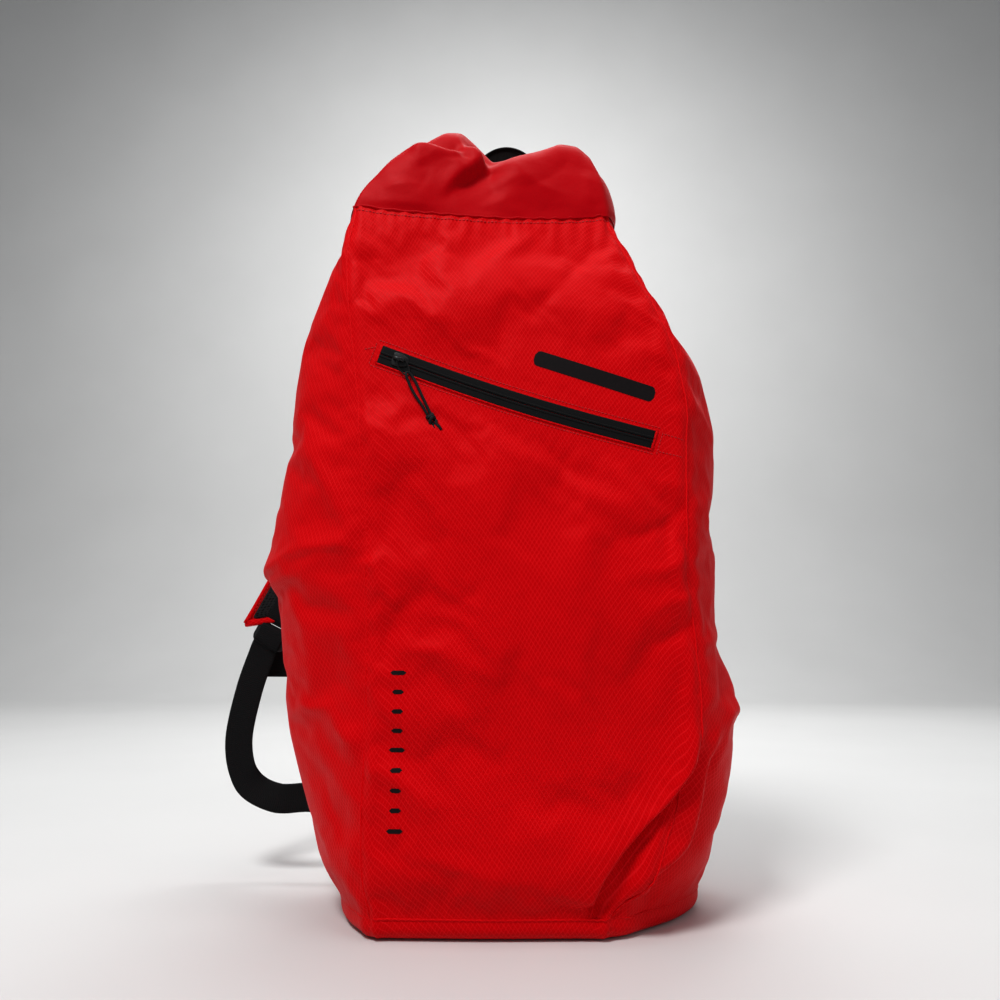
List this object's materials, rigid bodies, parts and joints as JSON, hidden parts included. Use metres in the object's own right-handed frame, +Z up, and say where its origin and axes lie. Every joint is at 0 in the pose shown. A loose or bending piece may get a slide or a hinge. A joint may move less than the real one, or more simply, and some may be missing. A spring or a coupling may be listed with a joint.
{
  "type": "roll-top daypack",
  "caption": "Small packable roll-top daypack with a slanted front zip pocket, a grab handle, a back buckle and two adjustable shoulder straps.",
  "frame": {"origin": "middle of the flat base, on the surface the bag stands on", "axes": "+Z up along the bag's height, front pocket towards -Y, the wearer's back towards +Y"},
  "size_m": [0.4312, 0.1892, 0.6493],
  "materials": {
    "ripstop_red": "diamond ripstop nylon with a slight coated sheen",
    "collar_red": "smooth plain-weave nylon",
    "pocket_red": "thin plain-weave nylon",
    "strap_red": "ripstop nylon over thin foam",
    "mesh_black": "open spacer mesh",
    "lining_black": "thin plain-weave nylon",
    "sheet_plastic": "matt polyethylene sheet",
    "webbing_black": "ribbed polypropylene webbing",
    "zipper_tape": "woven polyester tape",
    "zipper_coil": "nylon coil, reversed",
    "slider_metal": "black painted zinc",
    "cord_black": "braided polyester cord",
    "buckle_plastic": "fine-grained acetal"
  },
  "bodies": {
    "sack": {"front_panel_upper": "ripstop_red", "front_panel_lower": "ripstop_red", "side_panel_left_front": "ripstop_red", "side_panel_left_back": "ripstop_red", "side_panel_right_front": "ripstop_red", "side_panel_right_back": "ripstop_red", "bottom_panel": "ripstop_red", "back_panel": "ripstop_red", "zipper_end_left": "ripstop_red", "zipper_end_right": "ripstop_red", "collar_front": "collar_red", "collar_back": "collar_red", "collar_side_left": "collar_red", "collar_side_right": "collar_red", "pocket_lining": "pocket_red", "back_padding": "mesh_black", "frame_sleeve": "lining_black", "frame_sheet": "sheet_plastic", "zipper_tape_upper": "zipper_tape", "zipper_tape_lower": "zipper_tape", "zipper_coil": "zipper_coil", "anchor_tab_left": "strap_red", "anchor_tab_right": "strap_red", "strap_yoke": "strap_red", "lower_webbing_left": "webbing_black", "lower_webbing_right": "webbing_black"},
    "roll_top": {"rolled_collar": "collar_red", "closure_stiffener": "sheet_plastic", "roll_end_left": "collar_red", "roll_end_right": "collar_red", "closure_webbing_left": "webbing_black", "closure_webbing_right": "webbing_black", "closure_buckle_female": "buckle_plastic"},
    "closure_buckle": {"closure_buckle_male": "buckle_plastic"},
    "handle": {"grab_handle": "webbing_black"},
    "slider": {"zipper_slider": "slider_metal"},
    "pull": {"zipper_puller": "slider_metal", "pull_cord": "cord_black", "pull_knot": "cord_black"},
    "shoulder_left": {"shoulder_strap_left": "strap_red", "strap_lining_left": "mesh_black"},
    "shoulder_right": {"shoulder_strap_right": "strap_red", "strap_lining_right": "mesh_black"},
    "adjuster_left": {"ladder_lock_left": "buckle_plastic", "webbing_tail_left": "webbing_black"},
    "adjuster_right": {"ladder_lock_right": "buckle_plastic", "webbing_tail_right": "webbing_black"},
    "sternum_left": {"sternum_clip_left": "buckle_plastic", "sternum_webbing_left": "webbing_black", "sternum_buckle_female": "buckle_plastic"},
    "sternum_right": {"sternum_clip_right": "buckle_plastic", "sternum_webbing_right": "webbing_black", "sternum_buckle_male": "buckle_plastic"}
  },
  "joints": [
    {"name": "roll_top_lift", "type": "slide", "parent": "sack", "child": "roll_top", "axis": [0, 0, 1], "range_m": [0, 0.11]},
    {"name": "closure_buckle_release", "type": "slide", "parent": "roll_top", "child": "closure_buckle", "axis": [1, 0, 0], "range_m": [0, 0.024], "deforming": ["closure_webbing_right"]},
    {"name": "handle_tip", "type": "hinge", "parent": "sack", "child": "handle", "pos_m": [-0.006, 0.0185, 0.556], "axis": [1, 0, 0], "range_deg": [-25, 3]},
    {"name": "zipper_slide", "type": "slide", "parent": "sack", "child": "slider", "axis": [0.9501, 0, -0.3121], "range_m": [0, 0.185]},
    {"name": "zipper_pull_lift", "type": "hinge", "parent": "slider", "child": "pull", "pos_m": [-0.0888, -0.0748, 0.41201], "axis": [-0.8827, 0, -0.4699], "range_deg": [0, 110]},
    {"name": "shoulder_left_swing", "type": "hinge", "parent": "sack", "child": "shoulder_left", "pos_m": [-0.064, 0.046, 0.5], "axis": [1, 0, 0], "range_deg": [0, 45], "deforming": ["lower_webbing_left"]},
    {"name": "adjuster_left_tip", "type": "hinge", "parent": "shoulder_left", "child": "adjuster_left", "pos_m": [-0.214, 0.09, 0.222], "axis": [0.8947, -0.0251, -0.4459], "range_deg": [-10, 20]},
    {"name": "sternum_left_height", "type": "slide", "parent": "shoulder_left", "child": "sternum_left", "axis": [-0.5379, 0.065, -0.8405], "range_m": [-0.02, 0.02]},
    {"name": "shoulder_right_swing", "type": "hinge", "parent": "sack", "child": "shoulder_right", "pos_m": [0.02, 0.046, 0.5], "axis": [1, 0, 0], "range_deg": [0, 45], "deforming": ["lower_webbing_right"]},
    {"name": "adjuster_right_tip", "type": "hinge", "parent": "shoulder_right", "child": "adjuster_right", "pos_m": [0.096, 0.09, 0.222], "axis": [0.9971, 0.0043, 0.0766], "range_deg": [0, 20]},
    {"name": "sternum_right_height", "type": "slide", "parent": "shoulder_right", "child": "sternum_right", "axis": [0.3692, 0.0716, -0.9266], "range_m": [-0.02, 0.02]}
  ]
}
